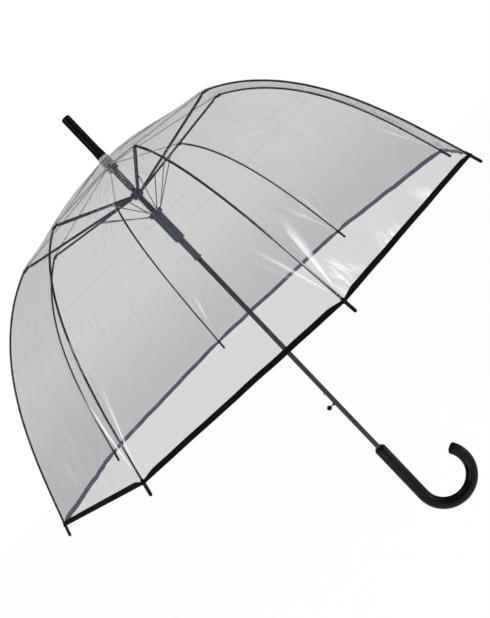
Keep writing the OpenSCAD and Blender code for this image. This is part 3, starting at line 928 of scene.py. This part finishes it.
class UMBRELLA_OT_ribs(Piece, bpy.types.Operator):
    """The eight lower ribs: a pinned fork, a curved rod, and a plastic tip"""

    bl_idname = "umbrella.ribs"
    bl_label = "Lower ribs"

    def execute(self, context):
        z = settings().ribs
        shoulder = Vector((SHOULDER[0], 0, SHOULDER[1]))
        rim_end = Vector((_end[0], 0, _end[1]))
        for i in range(1, GORES + 1):
            bm = bmesh.new()
            # the rod, swept round the five arcs from just inside the fork
            rod = bmesh.new()
            neck = 0.0045
            first = TURNS[0] - TURNS[1]
            radius = RIB_LENGTH / ARCS / first
            lead = neck / radius
            made = bmesh.ops.create_circle(rod, cap_ends=False, segments=z.sides, radius=z.rod_radius)
            made = made["verts"]
            p, h = rib_curve(neck / RIB_LENGTH)
            # the circle lies across the rod's own direction
            turn = Matrix.Rotation(math.pi / 2 - (h - math.pi / 2), 4, "Y")
            bmesh.ops.transform(rod, matrix=Matrix.Translation((p[0], 0, p[1])) @ turn, verts=made)
            last = made + list({e for v in made for e in v.link_edges})
            for j in range(ARCS):
                a, b = TURNS[j], TURNS[j + 1]
                r = RIB_LENGTH / ARCS / (a - b)
                centre = KNOTS[j] - r * np.array([math.cos(a), math.sin(a)])
                angle = (a - b) - (lead if j == 0 else 0)
                last = bmesh.ops.spin(
                    rod, geom=last, cent=(centre[0], 0, centre[1]), axis=(0, 1, 0), angle=angle, steps=16
                )["geom_last"]
            bmesh.ops.remove_doubles(rod, verts=rod.verts, dist=1e-7)
            bmesh.ops.holes_fill(rod, edges=rod.edges, sides=0)
            bmesh.ops.recalc_face_normals(rod, faces=rod.faces)
            # drawn flat and wide by the shoulder, and round from half way down
            for v in rod.verts:
                out = v.co.x - SHOULDER[0]
                flare = min(1.0, max(0.0, out / 0.012 - 1)) * max(0.0, 1 - out / 0.16)
                v.co.y *= 1 + 0.6 * flare
            add(bm, rod)
            # the film's clips, one over each joint of the arcs
            for j in range(1, ARCS):
                line = [(-0.0015, 0.0), (-0.0015, 0.00148), (-0.0013, 0.00152)]
                line += [(0.0013, 0.00152), (0.0015, 0.00148), (0.0015, 0.0)]
                turn = Matrix.Rotation(-(TURNS[j] - math.pi / 2), 4, "Y")
                add(bm, turned(line, 20), place=Matrix.Translation((KNOTS[j][0], 0, KNOTS[j][1])) @ turn)
            # the fork at the shoulder: two cheeks, the pin's heads, the bridge and the rod's rivet
            inside, outside, head = 0.0017, 0.0023, 0.0026
            at = Matrix.Translation(shoulder) @ Matrix.Rotation(-(TURNS[0] - math.pi / 2), 4, "Y")
            for side in (-1, 1):
                y0, y1 = sorted((side * inside, side * outside))
                add(bm, cross_pin(0.0019, y0, y1), place=at)
                cheek = block((0, y0, -0.0002), (0.009, y1, 0.0028), 0.0001)
                for v in cheek.verts:
                    if v.co.x < 0.004:
                        v.co.z = -0.0016 if v.co.z < 0.001 else 0.0018
                add(bm, cheek, place=at)
                y0, y1 = sorted((side * outside, side * head))
                add(bm, cross_pin(0.0011, y0, y1, 20), place=at)
            add(bm, block((0.004, -0.0023, 0), (0.0095, 0.0023, 0.0030), 0.0004), place=at)
            add(bm, cross_pin(0.0006, -0.0024, 0.0024, 16), place=at)
            # the tip: a moulded ferrule with a ring that holds the film, and a round end
            r, n = z.tip_radius, z.tip_length
            line = [(-0.0062, 0.0), (-0.0062, r * 0.72), (-0.0052, r * 0.92)]
            line += [(-0.0020, r), (-0.0016, r + 0.0006)]
            line += [(-0.0011, r + 0.0008), (0.0, r + 0.0008), (0.0005, r + 0.0006), (0.0008, r)]
            line += [(n - 0.004, r * 0.97)]
            for k in np.linspace(0.05, 1.45, 7):
                line.append((n - 0.0022 + r * math.sin(k), r * 0.97 * math.cos(k)))
            line += [(n - 0.0022 + r, 0.0)]
            tip = turned(line, 28)
            end = Matrix.Translation(rim_end) @ Matrix.Rotation(-(TURNS[-1] - math.pi / 2), 4, "Y")
            add(bm, tip, 1, end)
            bmesh.ops.transform(bm, matrix=rib_plane(i), verts=bm.verts)
            obj = finish(bm, f"lower_rib_{i}", None, [MATERIALS["enamel"], MATERIALS["tip"]])
            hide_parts(f"rib_lower_{i}")
            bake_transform(obj)
        return {"FINISHED"}


class UMBRELLA_OT_spring(Piece, bpy.types.Operator):
    """The opening spring between the collar and the runner"""

    bl_idname = "umbrella.spring"
    bl_label = "Opening spring"

    def execute(self, context):
        z = settings().spring
        lower, upper = low("main_spring").z + z.wire_radius, high("main_spring").z - z.wire_radius
        steps = 26 * z.turns
        bm = bmesh.new()
        ring = bmesh.ops.create_circle(bm, cap_ends=True, segments=9, radius=z.wire_radius)["verts"]
        bmesh.ops.rotate(bm, cent=(0, 0, 0), matrix=Matrix.Rotation(math.pi / 2, 3, "X"), verts=ring)
        bmesh.ops.translate(bm, vec=(z.coil_radius, 0, lower), verts=ring)
        face = bm.faces[:]
        bmesh.ops.spin(
            bm,
            geom=face + ring + bm.edges[:],
            cent=(0, 0, 0),
            axis=(0, 0, 1),
            dvec=(0, 0, (upper - lower) / steps),
            angle=2 * math.pi * z.turns,
            steps=steps,
        )
        bmesh.ops.remove_doubles(bm, verts=bm.verts, dist=1e-7)
        bmesh.ops.recalc_face_normals(bm, faces=bm.faces)
        obj = finish(bm, "opening_spring", "collar", MATERIALS["spring"])
        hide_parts("main_spring")
        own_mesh(obj)
        return {"FINISHED"}


class UMBRELLA_PT_panel(bpy.types.Panel):
    """Lists the umbrella's pieces and sizes"""

    bl_label = "Clear Dome Umbrella"
    bl_idname = "UMBRELLA_PT_panel"
    bl_space_type = "VIEW_3D"
    bl_region_type = "UI"
    bl_category = "Umbrella"

    def draw(self, context):
        for op in OPERATORS:
            self.layout.operator(op.bl_idname)
        for name, group in GROUPS.items():
            box = self.layout.box()
            box.label(text=name.capitalize())
            for prop in group.__annotations__:
                box.prop(getattr(context.scene.umbrella, name), prop)


OPERATORS = (
    UMBRELLA_OT_stage,
    UMBRELLA_OT_finishes,
    UMBRELLA_OT_canopy,
    UMBRELLA_OT_crown_film,
    UMBRELLA_OT_rim_tape,
    UMBRELLA_OT_ribs,
    UMBRELLA_OT_spring,
)
CLASSES = tuple(GROUPS.values()) + (UmbrellaSettings,) + OPERATORS + (UMBRELLA_PT_panel,)


def register():
    for c in CLASSES:
        bpy.utils.register_class(c)
    bpy.types.Scene.umbrella = PointerProperty(type=UmbrellaSettings)


def unregister():
    del bpy.types.Scene.umbrella
    for c in reversed(CLASSES):
        bpy.utils.unregister_class(c)


def main():
    register()
    bpy.ops.umbrella.stage()
    bpy.ops.umbrella.finishes()
    bpy.ops.umbrella.canopy()
    bpy.ops.umbrella.crown_film()
    bpy.ops.umbrella.rim_tape()
    bpy.ops.umbrella.ribs()
    bpy.ops.umbrella.spring()
    bpy.context.view_layer.update()


if __name__ == "__main__":
    main()
